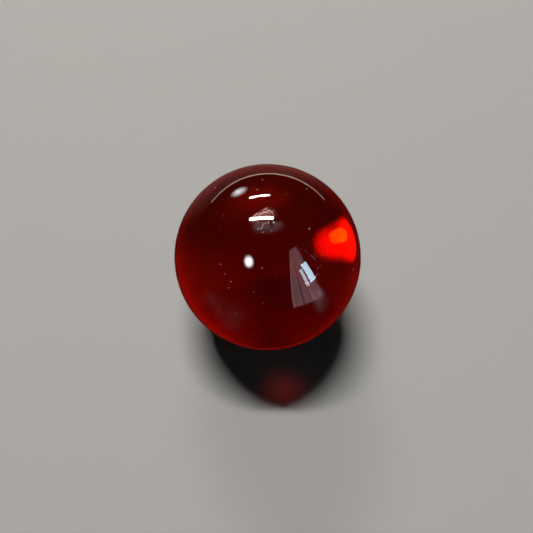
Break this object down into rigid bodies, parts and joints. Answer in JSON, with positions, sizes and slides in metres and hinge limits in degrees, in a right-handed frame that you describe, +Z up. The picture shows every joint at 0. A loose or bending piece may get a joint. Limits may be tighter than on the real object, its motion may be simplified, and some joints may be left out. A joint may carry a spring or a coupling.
{
  "type": "acrylic ball",
  "caption": "Solid ball of clear deep-red acrylic, polished all over, a desk ornament or a juggling ball to roll over the hands.",
  "frame": {"origin": "centre of the ball", "axes": "+Z up; the ball is the same about every axis through its centre"},
  "size_m": [0.065, 0.065, 0.065],
  "materials": {
    "ruby_acrylic": "polished"
  },
  "bodies": {
    "root": {"ball": "ruby_acrylic"}
  },
  "joints": []
}
